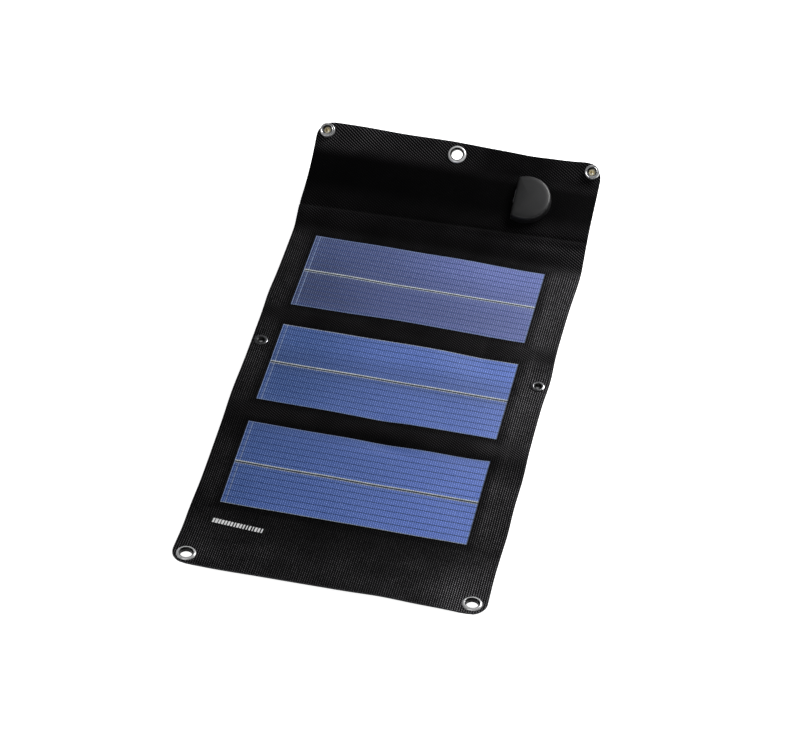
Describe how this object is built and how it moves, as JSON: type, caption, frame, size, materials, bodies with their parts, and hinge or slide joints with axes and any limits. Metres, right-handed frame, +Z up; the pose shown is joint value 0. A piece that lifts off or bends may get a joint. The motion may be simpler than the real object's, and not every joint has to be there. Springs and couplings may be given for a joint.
{
  "type": "fold-up solar charger",
  "caption": "Flexible fold-up solar charger: thin-film modules laminated in black cloth, junction box with outlet on the flap, eyelets and snap fasteners",
  "frame": {"origin": "middle of the panel's footprint, on the surface it lies on", "axes": "+X across the panel to its right side, +Y along it towards the flap, +Z up"},
  "size_m": [0.245, 0.4994, 0.0413],
  "materials": {
    "cloth": "black woven polyester, laminated",
    "film": "clear embossed film over black filler",
    "cell_violet": "thin-film cell under film, violet blue",
    "cell_blue": "thin-film cell under film, blue",
    "silver_print": "printed conductor",
    "ribbon": "tinned copper ribbon",
    "housing": "dark grey moulded, fine grain",
    "board": "green circuit board",
    "ferrite": "ferrite",
    "can": "capacitor can",
    "chip": "moulded package",
    "outlet_shell": "folded plated steel",
    "outlet_tongue": "white moulded",
    "screw": "zinc plated",
    "nickel": "nickel plated, slightly worn",
    "spring": "spring wire",
    "brass": "brass barrel, plated cap",
    "gunmetal": "black nickel",
    "ink": "white print"
  },
  "bodies": {
    "flap": {"rear_cloth_flap": "cloth", "front_film_flap": "film", "fold_flap": "cloth", "box_base": "housing", "box_cover": "housing", "circuit_board": "board", "inductor": "ferrite", "capacitors": "can", "regulator_chip": "chip", "usb_shell": "outlet_shell", "usb_tongue": "outlet_tongue", "cover_screws": "screw", "flap_eyelet": "nickel", "flap_eyelet_washer": "nickel", "socket_caps": "brass", "snap_sockets": "nickel", "socket_springs": "spring"},
    "spine": {"rear_cloth_spine": "cloth", "front_film_spine": "film", "fold_spine": "cloth"},
    "panel_1": {"rear_cloth_1": "cloth", "front_film_1": "film", "upper_cell_1": "cell_violet", "lower_cell_1": "cell_violet", "cell_joint_1": "silver_print", "contact_strip_1": "silver_print", "bus_ribbon_1": "ribbon"},
    "panel_2": {"rear_cloth_2": "cloth", "front_film_2": "film", "fold_1_2": "cloth", "upper_cell_2": "cell_blue", "lower_cell_2": "cell_blue", "cell_joint_2": "silver_print", "contact_strip_2": "silver_print", "bus_ribbon_2": "ribbon", "stud_posts": "gunmetal", "snap_studs": "gunmetal"},
    "panel_3": {"rear_cloth_3": "cloth", "front_film_3": "film", "fold_2_3": "cloth", "upper_cell_3": "cell_blue", "lower_cell_3": "cell_blue", "cell_joint_3": "silver_print", "contact_strip_3": "silver_print", "bus_ribbon_3": "ribbon"},
    "hem": {"rear_cloth_hem": "cloth", "front_film_hem": "film", "fold_hem": "cloth", "hem_eyelets": "nickel", "hem_eyelet_washers": "nickel", "marking_label": "ink"}
  },
  "joints": [
    {"name": "spine_fold", "type": "hinge", "parent": "panel_1", "child": "spine", "pos_m": [0, 0.15355, 0.00314], "axis": [-1, 0, 0], "range_deg": [-68, 45], "deforming": ["fold_spine"]},
    {"name": "flap_fold", "type": "hinge", "parent": "spine", "child": "flap", "pos_m": [0, 0.1775, 0.01172], "axis": [-1, 0, 0], "range_deg": [-95, 45], "deforming": ["fold_flap"]},
    {"name": "middle_fold", "type": "hinge", "parent": "panel_1", "child": "panel_2", "pos_m": [0, 0.04372, 0.0115], "axis": [-1, 0, 0], "range_deg": [-45, 166], "deforming": ["fold_1_2"]},
    {"name": "outer_fold", "type": "hinge", "parent": "panel_2", "child": "panel_3", "pos_m": [0, -0.07248, 0.00812], "axis": [-1, 0, 0], "range_deg": [-45, 179], "deforming": ["fold_2_3"]},
    {"name": "hem_fold", "type": "hinge", "parent": "panel_3", "child": "hem", "pos_m": [0, -0.18479, 0.00334], "axis": [-1, 0, 0], "range_deg": [-45, 172.5], "deforming": ["fold_hem"]}
  ]
}
